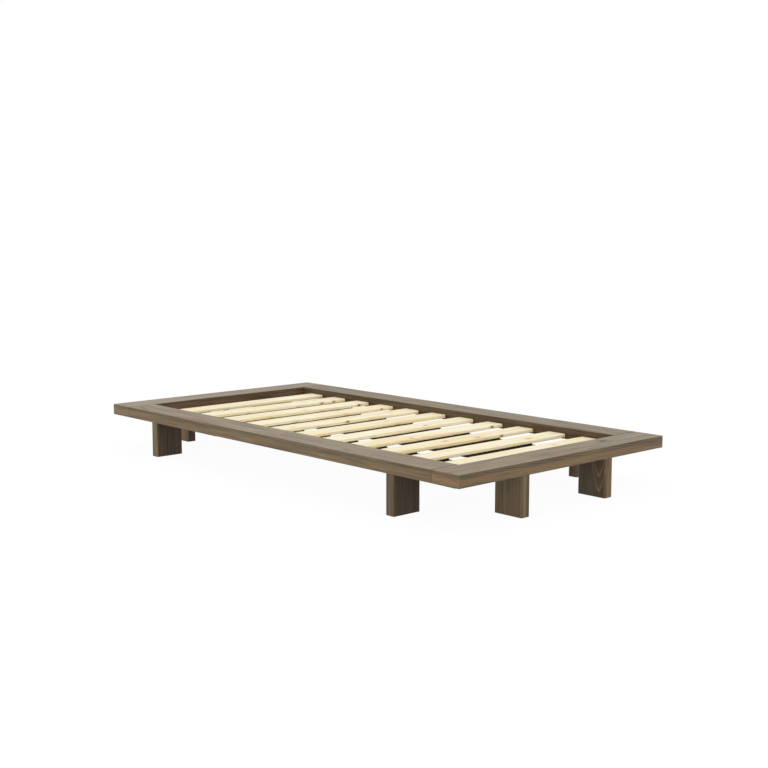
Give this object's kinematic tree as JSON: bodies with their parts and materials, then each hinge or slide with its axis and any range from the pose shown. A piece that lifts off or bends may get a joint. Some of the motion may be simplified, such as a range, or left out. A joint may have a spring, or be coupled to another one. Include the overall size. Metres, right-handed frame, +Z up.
{
  "type": "futon bed frame",
  "caption": "Low futon bed frame: wide flat stained rails round a mattress well, board legs set in from the corners, crossed bearers beneath and a lift-out base of pale slats.",
  "frame": {"origin": "floor level, under the middle of the bed", "axes": "+X along the length towards the foot end, +Y across the width towards the back side, +Z up"},
  "size_m": [2.284, 1.184, 0.205],
  "materials": {
    "stained_pine": "pine planks in a matt grey-brown stain, grain along each board, eased edges",
    "raw_pine": "planed pale pine, unfinished, with small brown knots",
    "webbing": "flat woven strap, matt dark grey",
    "rubber": "matt black rubber",
    "zinc_steel": "bright zinc plating",
    "beech": "planed beech, unfinished"
  },
  "bodies": {
    "frame": {"side_rail_front": "stained_pine", "side_rail_back": "stained_pine", "end_rail_foot": "stained_pine", "end_rail_head": "stained_pine", "side_leg_front_head": "stained_pine", "side_leg_front_foot": "stained_pine", "side_leg_back_head": "stained_pine", "side_leg_back_foot": "stained_pine", "end_leg_foot_front": "stained_pine", "end_leg_foot_back": "stained_pine", "end_leg_head_front": "stained_pine", "end_leg_head_back": "stained_pine", "long_bearer_front": "stained_pine", "long_bearer_back": "stained_pine", "cross_bearer_head": "stained_pine", "cross_bearer_foot": "stained_pine", "leg_screws": "zinc_steel", "corner_tongues": "beech", "corner_plates": "zinc_steel", "corner_bolts": "zinc_steel", "corner_nuts": "zinc_steel"},
    "slat_base": {"slat_01": "raw_pine", "slat_02": "raw_pine", "slat_03": "raw_pine", "slat_04": "raw_pine", "slat_05": "raw_pine", "slat_06": "raw_pine", "slat_07": "raw_pine", "slat_08": "raw_pine", "slat_09": "raw_pine", "slat_10": "raw_pine", "slat_11": "raw_pine", "slat_strap_front": "webbing", "slat_strap_back": "webbing", "slat_pads_front": "rubber", "slat_pads_back": "rubber"}
  },
  "joints": [
    {"name": "slat_base_lift", "type": "slide", "parent": "frame", "child": "slat_base", "axis": [0, 0, 1], "range_m": [0, 0.1]}
  ]
}
